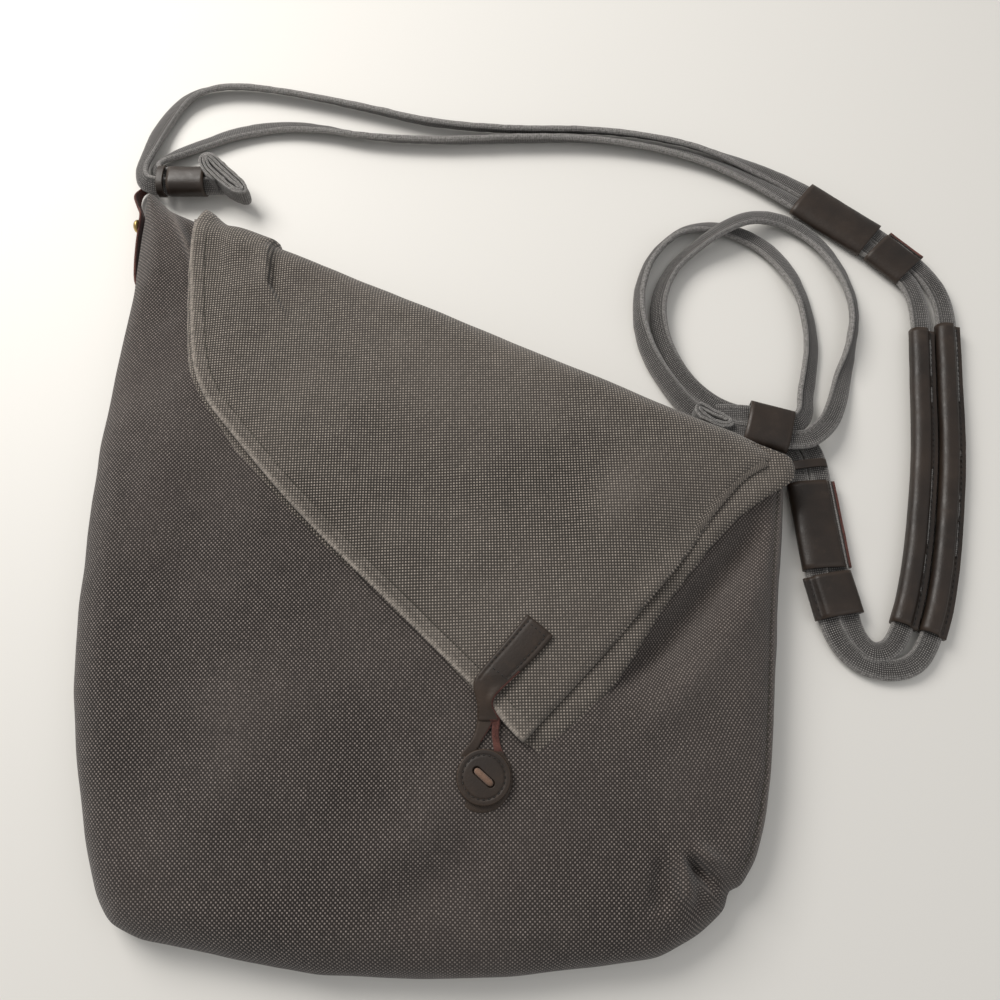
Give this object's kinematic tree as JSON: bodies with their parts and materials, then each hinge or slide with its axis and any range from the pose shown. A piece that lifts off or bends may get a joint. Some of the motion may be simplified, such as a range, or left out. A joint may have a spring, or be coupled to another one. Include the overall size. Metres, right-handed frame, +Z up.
{
  "type": "foldover messenger bag",
  "caption": "Canvas messenger bag lying flat, its top folded over as a buttoned flap, with a doubled strap, leather keepers and shoulder sleeves.",
  "frame": {"origin": "on the resting surface, under the middle of the bag without its strap", "axes": "+Z up from the surface, +Y towards the top of the bag, +X to the right with the flap towards the viewer"},
  "size_m": [0.5084, 0.5357, 0.0374],
  "materials": {
    "canvas": "heathered plain-weave cotton canvas",
    "lining_fabric": "plain cotton lining",
    "strap_canvas": "folded and edge-stitched canvas",
    "dark_leather": "smooth dark brown, satin",
    "raw_edge_leather": "split leather with a red-brown raw edge",
    "closure_leather": "worn dark brown, matt",
    "thong_cord": "tan waxed cord",
    "brass": "aged"
  },
  "bodies": {
    "bag": {"back_panel": "canvas", "front_panel": "canvas", "left_gusset": "canvas", "right_gusset": "canvas", "bottom_gusset": "canvas", "lining_back": "lining_fabric", "lining_front": "lining_fabric", "inner_pocket": "lining_fabric", "button_backing": "closure_leather", "left_side_tab": "raw_edge_leather", "right_side_tab": "raw_edge_leather", "tab_rivets": "brass", "strap_strand_a": "strap_canvas", "strap_strand_b": "strap_canvas", "left_stopper": "strap_canvas", "right_stopper": "strap_canvas"},
    "flap": {"flap_outer_panel": "canvas", "flap_under_panel": "canvas", "flap_side_gusset": "canvas", "flap_hem_band": "canvas", "under_hem_band": "canvas", "closure_patch": "closure_leather"},
    "closure_tab": {"closure_tab": "closure_leather"},
    "button": {"button_disc": "closure_leather", "button_thong": "thong_cord"},
    "upper_long_keeper": {"upper_long_keeper": "dark_leather"},
    "upper_short_keeper": {"upper_short_keeper": "dark_leather"},
    "lower_long_keeper": {"lower_long_keeper": "dark_leather"},
    "lower_short_keeper": {"lower_short_keeper": "dark_leather"},
    "left_end_keeper": {"left_end_keeper": "dark_leather"},
    "right_end_keeper": {"right_end_keeper": "dark_leather"},
    "inner_shoulder_sleeve": {"inner_shoulder_sleeve": "dark_leather"},
    "outer_shoulder_sleeve": {"outer_shoulder_sleeve": "dark_leather"}
  },
  "joints": [
    {"name": "flap_fold", "type": "hinge", "parent": "bag", "child": "flap", "pos_m": [0.03421, 0.11345, 0.0266], "axis": [-0.9063, 0.4226, 0], "range_deg": [0, 150]},
    {"name": "closure_tab_lift", "type": "hinge", "parent": "flap", "child": "closure_tab", "pos_m": [0.0303, -0.0857, 0.0355], "axis": [-0.7563, 0.6542, 0], "range_deg": [0, 70], "deforming": ["closure_tab"]},
    {"name": "button_swivel", "type": "hinge", "parent": "bag", "child": "button", "pos_m": [0.0263, -0.129, 0.0288], "axis": [0, 0, 1], "range_deg": [-40, 40]},
    {"name": "upper_long_keeper_slide", "type": "slide", "parent": "bag", "child": "upper_long_keeper", "axis": [-0.7712, 0.6366, 0], "range_m": [0, 0.012]},
    {"name": "upper_short_keeper_slide", "type": "slide", "parent": "bag", "child": "upper_short_keeper", "axis": [0.693, -0.721, 0], "range_m": [0, 0.004]},
    {"name": "lower_long_keeper_slide", "type": "slide", "parent": "bag", "child": "lower_long_keeper", "axis": [-0.058, 0.9983, 0], "range_m": [0, 0.006]},
    {"name": "lower_short_keeper_slide", "type": "slide", "parent": "bag", "child": "lower_short_keeper", "axis": [0.1713, -0.9852, 0], "range_m": [0, 0.003]},
    {"name": "left_end_keeper_slide", "type": "slide", "parent": "bag", "child": "left_end_keeper", "axis": [-1, 0, 0], "range_m": [0, 0.002]},
    {"name": "right_end_keeper_slide", "type": "slide", "parent": "bag", "child": "right_end_keeper", "axis": [-0.96, 0.28, 0], "range_m": [0, 0.003]},
    {"name": "inner_shoulder_sleeve_slide", "type": "slide", "parent": "bag", "child": "inner_shoulder_sleeve", "axis": [-0.214, -0.9768, 0], "range_m": [-0.005, 0.005]},
    {"name": "outer_shoulder_sleeve_slide", "type": "slide", "parent": "bag", "child": "outer_shoulder_sleeve", "axis": [-0.2127, -0.9771, 0], "range_m": [-0.005, 0.005]}
  ]
}
